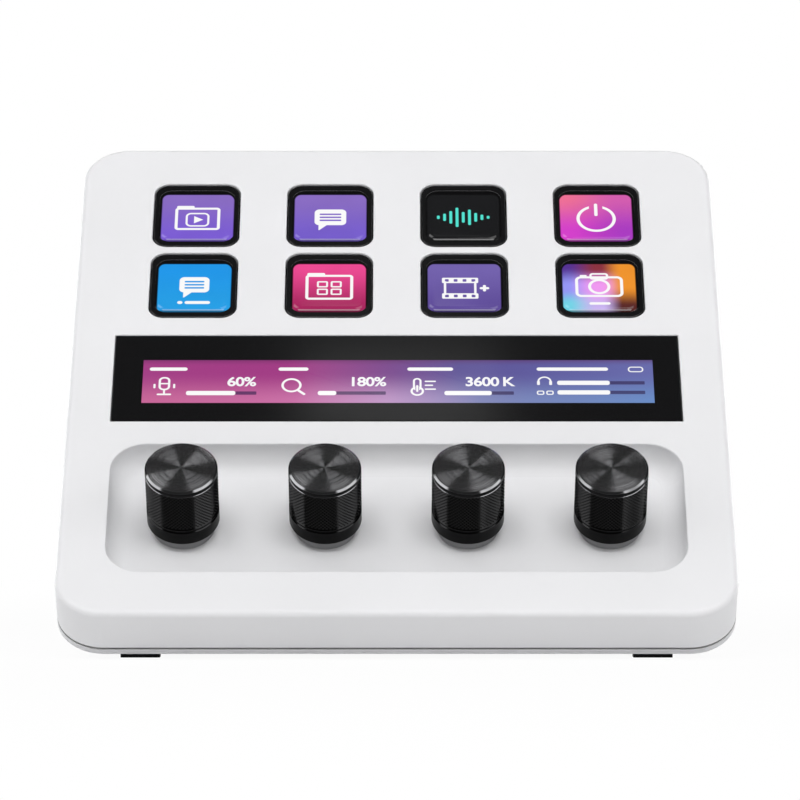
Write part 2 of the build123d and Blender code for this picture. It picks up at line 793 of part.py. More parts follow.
with BuildPart() as stand_shell:
    extrude(stand_outline.sketch, amount=stand_width / 2, both=True)
    fillet(back_corners(stand_shell), stand_corner_radius)
    fillet(stand_shell.edges().filter_by(Axis.Z), stand_corner_radius)
    add(stand_hollow.part, mode=Mode.SUBTRACT)
    # the plug's tunnel and the port's hole through its end wall
    rounded(
        Plane.XZ.offset(-(port_mouth + tunnel_back_gap)), port_middle, tunnel_width,
        tunnel_height, tunnel_corner_radius, port_mouth - stand_back, Mode.SUBTRACT,
    )
    rounded(
        Plane.XZ.offset(-tunnel_near), port_middle, port_width + 2 * port_gap,
        port_height + 2 * port_gap, port_height / 2, -tunnel_back_wall, Mode.SUBTRACT,
    )
    # holes for the lead and the screws
    disc(level(belly_under), lead_spot, lead_hole_radius, -stand_wall, Mode.SUBTRACT)
    disc(level(belly_under), stand_screw_spots, pilot_radius, -stand_boss_height, Mode.SUBTRACT)
    disc(
        Plane.XY.offset(base_level), base_screw_spots, pilot_radius, base_boss_height,
        Mode.SUBTRACT,
    )
write(stand_shell, "stand_shell")

with BuildPart() as stand_screws:
    screws(level(belly_inside), stand_screw_spots, cover_wall, screw_bite)
write(stand_screws, "stand_screws")

# ---- base plate with its ballast ----
rear_foot_spots = [(side_x * rear_foot_reach, rear_foot_row) for side_x in (-1, 1)]
usb_screw_spots = [(side_x * usb_screw_reach, usb_screw_row) for side_x in (-1, 1)]
usb_board_top = port_level - port_height / 2
usb_board_under = usb_board_top - usb_board_thickness
ballast_middle = (0, ballast_back - ballast_length / 2)
base_underside = Plane.XY.offset(stand_clear)

with BuildPart() as base_plate:
    rounded(
        base_underside, base_middle, stand_width - 2 * (stand_wall + base_gap),
        base_far - base_near - 2 * base_gap, inner_radius - base_gap, base_thickness,
    )
    # posts for the USB board
    usb_post_height = usb_board_under - base_level
    disc(Plane.XY.offset(base_level), usb_screw_spots, usb_post_radius, usb_post_height)
    disc(
        Plane.XY.offset(base_level), usb_screw_spots, pilot_radius, usb_post_height,
        Mode.SUBTRACT,
    )
    disc(base_underside, base_screw_spots, pass_hole_radius, base_thickness, Mode.SUBTRACT)
    disc(
        base_underside, base_screw_spots, screw_head_radius + head_gap, screw_head,
        Mode.SUBTRACT,
    )
    disc(base_underside, rear_foot_spots, rear_foot_radius + foot_gap, foot_pocket, Mode.SUBTRACT)
write(base_plate, "base_plate")

with BuildPart() as base_screws:
    disc(base_underside, base_screw_spots, screw_head_radius, screw_head)
    disc(base_underside, base_screw_spots, screw_radius, base_thickness + screw_bite)
write(base_screws, "base_screws")

with BuildPart() as ballast_plate:
    rounded(
        Plane.XY.offset(base_level), ballast_middle, ballast_width, ballast_length,
        ballast_corner_radius, ballast_thickness,
    )
write(ballast_plate, "ballast_plate")

# ---- feet ----
for number, (x, y) in enumerate(front_foot_spots, 1):
    with BuildPart() as foot:
        rounded(
            Plane.XY, (x, y), front_foot_width, front_foot_length, foot_corner_radius,
            stand_clear + foot_pocket,
        )
    write(foot, f"front_foot_{number}")

for number, (x, y) in enumerate(rear_foot_spots, 1):
    with BuildPart() as foot:
        disc(Plane.XY, (x, y), rear_foot_radius, stand_clear + foot_pocket)
        fillet(foot.edges().group_by(Axis.Z)[0], rear_foot_edge)
    write(foot, f"rear_foot_{number}")

# ---- USB-C port, its board and its lead ----
board_back = tunnel_near - usb_board_gap
board_middle = (0, board_back - usb_board_length / 2)

with BuildPart() as usb_board:
    block(
        Plane.XY.offset(usb_board_under), board_middle, usb_board_width, usb_board_length,
        usb_board_thickness,
    )
    disc(
        Plane.XY.offset(usb_board_under), usb_screw_spots, pass_hole_radius, usb_board_thickness,
        Mode.SUBTRACT,
    )
write(usb_board, "usb_board")

with BuildPart() as usb_screws:
    bite = usb_board_under - base_level - screw_tip_gap
    screws(Plane.XY.offset(usb_board_top), usb_screw_spots, usb_board_thickness, bite)
write(usb_screws, "usb_screws")

with BuildPart() as usb_c_port:
    with BuildSketch(Plane.XZ.offset(-port_mouth)):
        with Locations(port_middle):
            SlotOverall(port_width, port_height)
    extrude(amount=port_length)
    with BuildSketch(Plane.XZ.offset(-port_mouth)):
        with Locations(port_middle):
            SlotOverall(port_width - 2 * port_shell, port_height - 2 * port_shell)
    extrude(amount=port_length - port_back_wall, mode=Mode.SUBTRACT)
    block(
        Plane.XZ.offset(port_tongue_setback - port_mouth), port_middle, port_tongue_width,
        port_tongue_thickness, port_length - port_tongue_setback,
    )
write(usb_c_port, "usb_c_port")

# the lead runs from a socket on the USB board, up the stand, to a socket under the main board
usb_socket_near = board_middle[1] - usb_board_length / 2 + socket_margin
usb_socket_middle_z = usb_board_top + lead_socket_height / 2
lead_top = spot(lead_row, main_board_under - lead_socket_drop)
lead_turn = spot(lead_row, main_board_under - lead_socket_drop - lead_straight)
lead_route = [
    (usb_socket_near, usb_socket_middle_z),
    (usb_socket_near - lead_first_run, usb_socket_middle_z),
    *lead_bends,
    lead_turn,
    lead_top,
]

with BuildPart() as lead_sockets:
    block(
        Plane.XY.offset(usb_board_top), (0, usb_socket_near + lead_socket_length / 2),
        lead_socket_width, lead_socket_length, lead_socket_height,
    )
    block(
        level(main_board_under), lead_spot, lead_socket_width, lead_socket_length,
        -lead_socket_drop,
    )
write(lead_sockets, "lead_sockets")


def bend_radii(route):
    """For each corner of a route, an arc as large as its two runs allow."""
    corners = [Vector(*point) for point in route]
    radii = []
    for before, corner, after in zip(corners, corners[1:], corners[2:]):
        turn = radians((corner - before).get_angle(after - corner))
        radii.append(0.45 * min((corner - before).length, (after - corner).length) / tan(turn / 2))
    return radii


print("lead bend radii", [round(r, 1) for r in bend_radii(lead_route)])
with BuildPart() as usb_lead:
    with BuildLine(Plane.YZ) as lead_path:
        FilletPolyline(*lead_route, radius=bend_radii(lead_route))
    with BuildSketch(Plane(origin=lead_path.line @ 0, z_dir=lead_path.line % 0)):
        Circle(lead_radius)
    sweep()
write(usb_lead, "usb_lead")
lead_length = sum(edge.length for edge in lead_path.edges())
print("lead length", round(lead_length, 1), "volume", round(usb_lead.part.volume, 1))
print("section times length", round(pi * lead_radius**2 * lead_length, 1))
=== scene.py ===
"""Looks of the desk macro keypad: finishes for its parts, lit pictures, knurled knobs and a studio."""

import math

import bmesh
import bpy
from mathutils import Matrix, Quaternion, Vector


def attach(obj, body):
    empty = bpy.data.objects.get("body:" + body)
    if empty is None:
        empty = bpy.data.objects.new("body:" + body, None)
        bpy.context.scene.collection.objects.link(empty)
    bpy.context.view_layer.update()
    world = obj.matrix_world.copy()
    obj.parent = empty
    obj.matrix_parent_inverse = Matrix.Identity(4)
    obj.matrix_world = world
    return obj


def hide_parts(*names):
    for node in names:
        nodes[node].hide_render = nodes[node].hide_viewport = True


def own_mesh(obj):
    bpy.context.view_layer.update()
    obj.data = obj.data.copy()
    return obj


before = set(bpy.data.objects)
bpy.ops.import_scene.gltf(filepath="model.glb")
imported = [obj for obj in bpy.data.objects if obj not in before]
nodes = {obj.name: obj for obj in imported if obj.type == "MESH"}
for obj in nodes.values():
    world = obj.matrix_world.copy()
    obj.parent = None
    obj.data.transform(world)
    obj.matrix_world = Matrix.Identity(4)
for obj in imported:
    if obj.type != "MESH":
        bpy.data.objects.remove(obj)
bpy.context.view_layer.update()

# ---- where things are: millimetres on the tilted panel, metres in the world ----
MM = 0.001
TILT = math.radians(44.0)
PANEL_FRONT = Vector((0.0, -69.4968, 9.7))  # the panel's front edge, in millimetres
PANEL = (140.0, 144.0, 10.0)  # width, length and corner
COLUMNS = (-44.4, -14.8, 14.8, 44.4)  # of the keys and of the knobs
KEY_PITCH = 29.6
KEY_ROWS = (121.6, 98.7)  # up the slope from the front edge, as all the rows are
KNOB_ROW = 30.0
GLASS_TOP = -0.1  # of the strip's glass, from the panel's face

to_world = Matrix.Translation(PANEL_FRONT * MM) @ Matrix.Rotation(TILT, 4, "X") @ Matrix.Scale(MM, 4)


def on_panel(x, v, w=0.0):
    """The matrix that puts a piece made in millimetres at the origin onto a place of the panel."""
    return to_world @ Matrix.Translation((x, v, w))


# ---- materials: small tools ----
class Reading:
    """What one socket of a node gives, with arithmetic."""

    def __init__(self, maker, socket):
        self.maker, self.socket = maker, socket

    def compute(self, operation, *values):
        return self.maker.make("ShaderNodeMath", {"operation": operation}, dict(enumerate(values)))

    def __add__(self, other):
        return self.compute("ADD", self, other)

    def __sub__(self, other):
        return self.compute("SUBTRACT", self, other)

    def __rsub__(self, other):
        return self.compute("SUBTRACT", other, self)

    def __mul__(self, other):
        return self.compute("MULTIPLY", self, other)

    def __truediv__(self, other):
        return self.compute("DIVIDE", self, other)

    def __neg__(self):
        return self * -1.0

    def __abs__(self):
        return self.compute("ABSOLUTE", self)

    def __pow__(self, other):
        return self.compute("POWER", self, other)

    __radd__, __rmul__ = __add__, __mul__

    def least(self, other):
        return self.compute("MINIMUM", self, other)

    def most(self, other):
        return self.compute("MAXIMUM", self, other)

    def floor(self):
        return self.compute("FLOOR", self)

    def wrap(self, low, high):
        return self.compute("WRAP", self, high, low)

    def rise(self, low, high, first=0.0, last=1.0):
        """first below low, last above high, smooth between."""
        return self.maker.make(
            "ShaderNodeMapRange",
            {"interpolation_type": "SMOOTHSTEP"},
            {"Value": self, "From Min": low, "From Max": high, "To Min": first, "To Max": last},
        )

    def fall(self, low, high):
        return 1.0 - self.rise(low, high)

    def band(self, low, full, last, high):
        """0 outside low to high, 1 from full to last, smooth between."""
        return self.rise(low, full) * self.fall(last, high)


def straight(red, green, blue):
    """A display colour, 0 to 255, as the linear colour a shader takes."""
    return tuple(
        c / 255 / 12.92 if c / 255 <= 0.04045 else ((c / 255 + 0.055) / 1.055) ** 2.4
        for c in (red, green, blue)
    ) + (1.0,)


class Maker:
    """The nodes of a material or of the world while they are made."""

    def __init__(self, owner):
        owner.use_nodes = True
        self.tree = owner.node_tree
        self.tree.nodes.clear()

    def make(self, kind, settings=None, values=None, output=0):
        """A node: its settings (stops for a colour ramp), then the values or links of its sockets."""
        node = self.tree.nodes.new(kind)
        for key, value in (settings or {}).items():
            if key == "stops":
                ramp = node.color_ramp.elements
                for _ in value[len(ramp):]:
                    ramp.new(1.0)
                for element, (position, colour) in zip(ramp, value):
                    element.position, element.color = position, colour
            else:
                setattr(node, key, value)
        for key, value in (values or {}).items():
            if isinstance(value, Reading):
                self.tree.links.new(value.socket, node.inputs[key])
            else:
                node.inputs[key].default_value = value
        return Reading(self, node.outputs[output])

    def split(self, vector):
        return [self.make("ShaderNodeSeparateXYZ", values={0: vector}, output=i) for i in range(3)]

    def make_output(self, surface, kind="ShaderNodeOutputMaterial"):
        out = self.tree.nodes.new(kind)
        self.tree.links.new(surface.socket, out.inputs["Surface"])


class Paint(Maker):
    """One material while its nodes are made."""

    def __init__(self, name):
        self.material = bpy.data.materials.new(name)
        super().__init__(self.material)
        self.place = self.make("ShaderNodeTexCoord", output="Object")

    def panel(self, x=0.0, v=0.0, w=0.0):
        """Millimetres from a place on the panel: across, up the slope and out of it."""
        turned = Matrix.Rotation(-TILT, 3, "X") @ PANEL_FRONT
        return self.make(
            "ShaderNodeMapping",
            values={
                "Vector": self.place,
                "Location": -turned - Vector((x, v, w)),
                "Rotation": (-TILT, 0.0, 0.0),
                "Scale": (1 / MM,) * 3,
            },
        )

    def world(self):
        return self.make("ShaderNodeMapping", values={"Vector": self.place, "Scale": (1 / MM,) * 3})

    def join(self, x, y, z):
        return self.make("ShaderNodeCombineXYZ", values={0: x, 1: y, 2: z})

    def stretch(self, vector, scale):
        return self.make("ShaderNodeMapping", values={"Vector": vector, "Scale": scale})

    def noise(self, vector, scale, detail=2.0, roughness=0.5):
        return self.make(
            "ShaderNodeTexNoise",
            values={"Vector": vector, "Scale": scale, "Detail": detail, "Roughness": roughness},
        )

    def smears(self, scale=(0.03, 0.08, 0.08)):
        """Faint long smears, as left by wiping."""
        return self.noise(self.stretch(self.world(), scale), 1.0, 5.0, 0.7)

    def mix(self, first, second, share):
        return self.make(
            "ShaderNodeMix", {"data_type": "RGBA"}, {0: share, 6: first, 7: second}, output=2
        )

    def ramp(self, share, *stops):
        return self.make("ShaderNodeValToRGB", {"stops": stops}, {0: share})

    def bump(self, height, depth, strength):
        """A normal bent by a height, its depth in millimetres."""
        values = {"Height": height, "Distance": depth * MM, "Strength": strength}
        return self.make("ShaderNodeBump", values=values)

    def done(self, **values):
        """The Principled shader with these sockets, and the finished material."""
        surface = self.make(
            "ShaderNodeBsdfPrincipled",
            values={key.replace("_", " "): value for key, value in values.items()},
        )
        self.make_output(surface)
        return self.material


def wear(piece, material):
    """Gives a piece or a node one material in every slot."""
    if not piece.material_slots:
        piece.data.materials.append(material)
    for slot in piece.material_slots:
        slot.material = material


def finish_nodes(material, *names):
    """Gives CAD parts one material."""
    for name in names:
        wear(nodes[name], material)


def shaded(colour, times, plus=0.0):
    """A colour made lighter or darker."""
    return tuple(min(c * times + plus, 1.0) for c in colour[:3]) + (1.0,)


# ---- finishes ----
# each band is four heights over the panel's face: it fades in over the first two, out over the last
SHADE_SPREAD = 0.03  # of moulded plastic to both sides of its colour
# painted shade: heights of the shadow painted on each knob's plinth, under the knob
KNOB_SHADOW_BAND = (-5.55, -5.45, -3.85, -3.75)
KNOB_SHADOW_EDGE = (6.45, 6.6)  # distances from a knob's axis over which the shadow painted under the knob fades out
# painted shade: heights along the rims where the shells meet, for the shadow in their gap
SEAM_SHADOW_BAND = (-10.74, -10.68, -10.12, -10.06)
SKIN = (-0.6, -0.4)  # distances from the slab's outline over which its outer skin, where the seam's shade is painted, fades in


def moulded(name, colour, roughness=0.42, grain=0.006, gloss=0.5, knob_shadow=None, seam_shadow=None):
    """Moulded plastic: a fine spark-eroded grain, slow shade changes and faint handling marks.

    Two more colours are painted shade: one round each knob's plinth, for the shadow under the knob, and
    one along the rims where two shells meet, for the shadow in their gap.
    """
    paint = Paint(name)
    at = paint.world()
    slow = paint.noise(at, 0.035, 3.0) - 0.5
    fine = paint.noise(at, 9.0, 3.0, 0.6)
    marks = paint.noise(paint.stretch(at, (0.05, 0.05, 0.09)), 1.0, 5.0, 0.65)
    dark, pale = shaded(colour, 1 - SHADE_SPREAD), shaded(colour, 1 + SHADE_SPREAD)
    shade = (slow * 1.2 + (fine - 0.5) * 0.25 + 0.5).least(1.0).most(0.0)
    tint = paint.mix(dark, pale, shade)
    # painted shade round each knob's plinth, where the knob's shadow falls
    if knob_shadow:
        x, v, w = paint.split(paint.panel(0.0, KNOB_ROW))
        across = abs(abs(x) - KEY_PITCH) - KEY_PITCH / 2
        reach = (across * across + v * v) ** 0.5
        tint = paint.mix(tint, knob_shadow, reach.fall(*KNOB_SHADOW_EDGE) * w.band(*KNOB_SHADOW_BAND))
    # painted shade along the outer rims where the two shells meet, standing in for the shadow in their
    # gap
    if seam_shadow:
        x, v, w = paint.split(paint.panel(0.0, PANEL[1] / 2))
        skin = Sketch(paint, x, v).box(0, 0, *PANEL).rise(*SKIN)
        tint = paint.mix(tint, seam_shadow, skin * w.band(*SEAM_SHADOW_BAND))
    return paint.done(
        Base_Color=tint,
        Roughness=roughness + (marks - 0.5) * 0.16 + (fine - 0.5) * 0.06,
        Normal=paint.bump(fine, grain, 0.6),
        Specular_IOR_Level=gloss,
    )


def metal(name, colour, roughness, streak=(0.4, 14.0, 14.0)):
    """Bare or plated metal with fine drawn lines and a little dulling."""
    paint = Paint(name)
    at = paint.world()
    lines = paint.noise(paint.stretch(at, streak), 1.0, 4.0, 0.6)
    dull = paint.noise(at, 0.4, 4.0)
    return paint.done(
        Base_Color=paint.mix(shaded(colour, 0.82), colour, lines * 0.6 + dull * 0.4),
        Roughness=roughness + (dull - 0.5) * 0.2,
        Metallic=1.0,
        Normal=paint.bump(lines, 0.004, 0.5),
    )


MASKED_TRACK = (0.16, 0.42, 0.22, 1.0)
PLATED_PAD = (0.72, 0.62, 0.35, 1.0)


def board(name, mask):
    """A circuit board: solder mask over tracks, and small plated pads."""
    paint = Paint(name)
    x, v, w = paint.split(paint.panel())
    # tracks run side by side in patches, and the pads stand on a grid, in patches too
    lanes = abs((x + (v * 0.31).wrap(0.0, 1.7)).wrap(-0.45, 0.45))
    rows = paint.noise(paint.join(x * 0.05, v * 0.5, w * 0.5), 1.0, 1.0)
    track = lanes.fall(0.1, 0.16) * rows.rise(0.45, 0.5)
    cell = paint.join(x.wrap(-1.3, 1.3), v.wrap(-1.7, 1.7), 0.0)
    ring = paint.make("ShaderNodeVectorMath", {"operation": "LENGTH"}, {0: cell}, output=1)
    pad = ring.fall(0.3, 0.36) * paint.noise(paint.join(x * 0.3, v * 0.3, 0.0), 1.0).rise(0.5, 0.52)
    return paint.done(
        Base_Color=paint.mix(paint.mix(mask, MASKED_TRACK, track * 0.6), PLATED_PAD, pad),
        Roughness=0.35 - pad * 0.1 + paint.noise(paint.panel(), 0.5) * 0.1,
        Metallic=pad,
        Normal=paint.bump(track + pad, 0.03, 0.7),
    )


def glazed(name, colour, roughness=0.08, smear=0.05):
    """Dark printed glass: a deep clear face with the faintest smears and a little dust."""
    paint = Paint(name)
    dust = paint.noise(paint.world(), 2.2, 2.0).rise(0.72, 0.8)
    return paint.done(
        Base_Color=paint.mix(colour, shaded(colour, 1.0, 0.006), dust),
        Roughness=roughness + paint.smears() * smear + dust * 0.1,
    )


def rubber(name, colour, roughness=0.7):
    """Dull black rubber with small pits and a pale bloom."""
    paint = Paint(name)
    at = paint.world()
    pits = paint.make("ShaderNodeTexVoronoi", values={"Vector": at, "Scale": 3.0})
    bloom = paint.noise(at, 0.12, 4.0)
    return paint.done(
        Base_Color=paint.mix(colour, shaded(colour, 1.5, 0.004), bloom * 0.5),
        Roughness=roughness + (bloom - 0.5) * 0.15,
        Normal=paint.bump(pits, 0.02, 0.5),
        Specular_IOR_Level=0.12,
    )


def film(name, base, track):
    """A flat ribbon: a tinted film over copper tracks that run along it."""
    paint = Paint(name)
    x, _, _ = paint.split(paint.panel())
    lines = abs(x.wrap(-0.25, 0.25)).fall(0.1, 0.15)
    blur = paint.noise(paint.panel(), 0.6, 3.0)
    return paint.done(
        Base_Color=paint.mix(base, track, lines * (0.7 + blur * 0.3)),
        Roughness=0.3 + blur * 0.15,
        Normal=paint.bump(lines, 0.01, 0.5),
    )


# of a knob: heights over the panel's face, and distances from its axis
TOP_HEIGHT, TOP_EDGE = (11.9, 11.95), (7.08, 7.1)
BEVEL_HEIGHT, BEVEL_EDGE = (11.62, 11.66), (7.09, 7.12)
GRIP_BAND = (0.95, 1.0, 10.5, 10.55)
CUT_BAND = (10.54, 10.56, 10.63, 10.66)
RIM_BAND = (0.06, 0.1, 0.28, 0.3)
RINGS = 90.0  # turned into each millimetre of the top
RING_LEAN = 0.63  # the most that a ring's slopes differ


def anodised(name):
    """Black anodised aluminium: fine rings turned into the top, a matt grip, bright-cut edges."""
    paint = Paint(name)
    x, v, w = paint.split(paint.panel(0.0, KNOB_ROW))
    across = (x + KEY_PITCH / 2).wrap(-KEY_PITCH / 2, KEY_PITCH / 2)
    reach = (across * across + v * v) ** 0.5
    top = w.rise(*TOP_HEIGHT) * reach.fall(*TOP_EDGE)
    lane = paint.make(
        "ShaderNodeTexWhiteNoise", {"noise_dimensions": "1D"}, {"W": (reach * RINGS).floor()}
    )
    # each ring leans towards the axis or away from it, by its own amount
    lean = (lane - 0.5) * top * RING_LEAN
    out_x, out_v = across / reach.most(0.05), v / reach.most(0.05)
    face = paint.join(
        out_x * lean,
        out_v * lean * math.cos(TILT) - math.sin(TILT),
        out_v * lean * math.sin(TILT) + math.cos(TILT),
    )
    turned = paint.make("ShaderNodeVectorMath", {"operation": "NORMALIZE"}, {0: face})
    turned = paint.make(
        "ShaderNodeVectorTransform",
        {"vector_type": "NORMAL", "convert_from": "OBJECT", "convert_to": "WORLD"},
        {0: turned},
    )
    plain = paint.make("ShaderNodeNewGeometry", output="Normal")
    normal = paint.make(
        "ShaderNodeMix", {"data_type": "VECTOR"}, {0: top, 4: plain, 5: turned}, output=1
    )
    haze = paint.noise(paint.panel(), 0.5, 4.0, 0.6)
    matt = (w.band(*GRIP_BAND) + w.band(*RIM_BAND)).least(1.0)
    bright = (w.rise(*BEVEL_HEIGHT) * reach.rise(*BEVEL_EDGE) + w.band(*CUT_BAND)).least(1.0)
    worked = (top + bright + matt).least(1.0)
    colour = paint.mix((0.002, 0.002, 0.0022, 1.0), (0.004, 0.004, 0.0044, 1.0), haze)
    colour = paint.mix(colour, (0.0137, 0.0137, 0.014, 1.0), matt)
    colour = paint.mix(colour, (0.225, 0.225, 0.231, 1.0), top)
    colour = paint.mix(colour, (0.15, 0.15, 0.155, 1.0), bright)
    return paint.done(
        Base_Color=colour,
        Metallic=worked * 0.95,
        Roughness=0.34 - worked * 0.2 + (haze - 0.5) * 0.06,
        Normal=normal,
        Specular_IOR_Level=0.06,
    )


# ---- drawing on the lit pictures: distances in millimetres, negative inside ----
class Sketch:
    """Shapes drawn on a flat picture, each as the distance to its edge."""

    def __init__(self, paint, x, v, shift=(0.0, 0.0)):
        self.paint, self.x, self.v = paint, x - shift[0], v - shift[1]

    def length(self, a, b):
        return (a * a + b * b) ** 0.5

    def disc(self, cx, cy, radius):
        return self.length(self.x - cx, self.v - cy) - radius

    def box(self, cx, cy, width, height, corner=0.0):
        across = abs(self.x - cx) - (width / 2 - corner)
        along = abs(self.v - cy) - (height / 2 - corner)
        outside = self.length(across.most(0.0), along.most(0.0))
        return outside + across.most(along).least(0.0) - corner

    def dash(self, x1, y1, x2, y2, radius):
        """A round-ended line."""
        ux, uy = x2 - x1, y2 - y1
        size = ux * ux + uy * uy
        dx, dy = self.x - x1, self.v - y1
        share = (dx * (ux / size) + dy * (uy / size)).least(1.0).most(0.0)
        return self.length(dx - share * ux, dy - share * uy) - radius

    def slope(self, px, py, nx, ny):
        """The half plane behind a point, seen along its outward direction."""
        size = math.hypot(nx, ny)
        return (self.x - px) * (nx / size) + (self.v - py) * (ny / size)

    def ring(self, edge, thick):
        """A line along a shape's edge."""
        return abs(edge) - thick / 2

    def together(self, *parts):
        """All that lies in any of the shapes."""
        joined = parts[0]
        for part in parts[1:]:
            joined = joined.least(part)
        return joined

    def overlap(self, *parts):
        """What lies in every one of the shapes."""
        shared = parts[0]
        for part in parts[1:]:
            shared = shared.most(part)
        return shared

    def cut(self, part, away):
        """A shape without what lies in another."""
        return part.most(-away)


def ink(edge, soft=0.09):
    """1 inside a shape, 0 outside it."""
    return edge.fall(-soft, soft)


WHITE = (1.0, 1.0, 1.0, 1.0)
LINE = 0.64  # how thick a drawn outline is


def folder(s, width, height):
    """An outlined folder with its tab."""
    outline = s.ring(s.box(0, 0, width - LINE, height - LINE, 0.5), LINE)
    tab = s.box(-width / 2 + 2.3, height / 2, 3.9, 1.2, 0.4)
    return s.together(outline, tab)


def bubble(s, width, height):
    """A filled speech bubble with three ruled lines left out, and its tail."""
    body = s.box(0, 0, width, height, 1.1)
    tail = s.overlap(
        s.slope(-width / 2 + 0.9, -height / 2, -1.0, 0.0),
        s.slope(-width / 2 + 2.7, -height / 2, 1.0, -1.0),
        s.slope(0, -height / 2 - 1.6, 0.0, -1.0),
        s.slope(0, -height / 2 + 0.4, 0.0, 1.0),
    )
    lines = s.together(*(s.box(0, y, width - 2.2, 0.5, 0.2) for y in (-1.0, 0.0, 1.0)))
    return s.cut(s.together(body, tail), lines)


def icon_album(s):
    """A folder with a play mark in a rounded frame."""
    s = Sketch(s.paint, s.x, s.v, (0, -0.5))
    mark = s.overlap(
        s.slope(-0.75, -0.3, -1.0, 0.0),
        s.slope(1.25, -0.3, 1.0, 1.7),
        s.slope(1.25, -0.3, 1.0, -1.7),
    )
    frame_line = s.ring(s.box(0, -0.3, 4.8, 4.1, 1.0), 0.44)
    return s.together(folder(s, 10.0, 7.4), frame_line, mark)


def icon_chat(s):
    """A speech bubble."""
    return bubble(s, 7.0, 5.2)


def icon_wave(s):
    """Level bars."""
    heights = (0.7, 1.5, 2.6, 4.0, 2.2, 3.2, 1.8, 1.1, 0.6)
    bars = [s.box((i - 4) * 1.38, 0, 0.62, 2 * h * 0.8, 0.3) for i, h in enumerate(heights)]
    return s.together(*bars)


def icon_power(s):
    """A round power mark."""
    ring = s.cut(s.ring(s.disc(0, -0.45, 4.0), 0.7), s.box(0, 3.3, 3.0, 3.4))
    return s.together(ring, s.dash(0, 0.8, 0, 4.2, 0.36))


def icon_live(s):
    """A speech bubble over a dot and a bar that stand for a word."""
    caption = s.together(s.dash(-3.1, -4.9, -2.9, -4.9, 0.46), s.dash(-1.5, -4.9, 3.1, -4.9, 0.46))
    return s.together(bubble(Sketch(s.paint, s.x, s.v, (0, 0.8)), 6.5, 4.9), caption)


def icon_scenes(s):
    """A folder with four tiles."""
    tiles = [
        s.ring(s.box(x, y, 2.0, 1.6, 0.2), 0.4) for x in (-1.5, 1.5) for y in (-1.45, 0.95)
    ]
    return s.together(folder(s, 10.4, 8.0), *tiles)


def icon_film(s):
    """A strip of film and a plus sign."""
    s = Sketch(s.paint, s.x, s.v, (-0.9, -0.3))
    bands = s.together(*(s.box(0, y, 7.9, 1.7, 0.3) for y in (2.5, -2.5)))
    holes = s.together(
        *(s.box(x, y, 0.85, 0.85, 0.2) for x in (-2.9, -0.97, 0.97, 2.9) for y in (-2.5, 2.5))
    )
    sides = s.together(*(s.box(x, 0, 0.5, 4.4) for x in (-3.3, 3.3)))
    plus = s.together(s.dash(4.6, 0, 6.0, 0, 0.34), s.dash(5.3, -0.7, 5.3, 0.7, 0.34))
    return s.together(s.cut(bands, holes), sides, plus)


def icon_camera(s):
    """A camera over a bar that stands for a word."""
    s = Sketch(s.paint, s.x, s.v, (0, 0.6))
    body = s.ring(s.box(0, -0.4, 9.8, 6.0, 1.0), LINE)
    hump = s.ring(s.box(0, 2.9, 3.6, 1.6, 0.5), 0.5)
    button = s.box(-3.4, 3.0, 1.5, 0.7, 0.2)
    lens = s.ring(s.disc(0, -0.4, 2.1), LINE)
    caption = s.dash(-1.9, -5.8, 1.9, -5.8, 0.4)
    return s.together(body, hump, button, lens, caption)


def flat_shade(top, foot):
    """A background that changes from its far edge to its near edge."""
    return lambda p, x, v: p.mix(straight(*foot), straight(*top), v.rise(-7.0, 7.0))


def rose_shade(p, x, v):
    """Pink at the far left, violet at the near right."""
    foot = p.mix(straight(214, 60, 204), straight(172, 56, 196), x.rise(-7.0, 7.0))
    top = p.mix(straight(242, 112, 150), straight(214, 92, 176), x.rise(-7.0, 5.0))
    return p.mix(foot, top, v.rise(-5.0, 7.0))


def sunset_shade(p, x, v):
    """Blue at the left, pink in the middle and orange at the right, each darker at one end."""
    left = p.mix(straight(112, 214, 232), straight(150, 152, 250), v.rise(-5.5, -0.5))
    left = p.mix(left, straight(84, 46, 150), v.rise(0.5, 6.5))
    middle = p.mix(straight(204, 182, 244), straight(246, 156, 246), v.rise(-6.0, -0.5))
    middle = p.mix(middle, straight(140, 46, 60), v.rise(0.5, 6.0))
    right = p.mix(straight(90, 34, 30), straight(244, 150, 40), v.rise(-6.0, 0.5))
    return p.mix(p.mix(left, middle, x.rise(-7.0, -0.5)), right, x.rise(0.5, 5.0))


# for each key, from the far left: what is drawn, on what, and the colour of its lines
PICTURES = (
    (icon_album, flat_shade((138, 108, 196), (124, 92, 214)), WHITE),
    (icon_chat, flat_shade((138, 108, 196), (118, 92, 206)), WHITE),
    (icon_wave, flat_shade((13, 14, 15), (10, 11, 12)), straight(84, 232, 214)),
    (icon_power, rose_shade, WHITE),
    (icon_live, flat_shade((22, 152, 236), (30, 160, 232)), WHITE),
    (icon_scenes, flat_shade((240, 72, 148), (170, 30, 92)), WHITE),
    (icon_film, flat_shade((116, 98, 176), (96, 76, 156)), WHITE),
    (icon_camera, sunset_shade, WHITE),
)
WINDOW = (15.9, 14.9, 1.5)  # of a key's picture: width, length and corner
WINDOW_SOFT = 0.16  # half the width of its blurred edge
WINDOW_SHIFT = -1.13  # of a key's picture towards the near edge
NEAR_PAINTED_SHADE, NEAR_SHARE = (-7.2, -6.75), 0.4  # painted shade: where a picture dims at its near edge, and to what, for its look through the lens's steep near rounding
DEPTH_SHARE = 0.995  # a picture lies a little deeper than its face, so it leans to the middle
GLOW = 0.95  # of everything lit


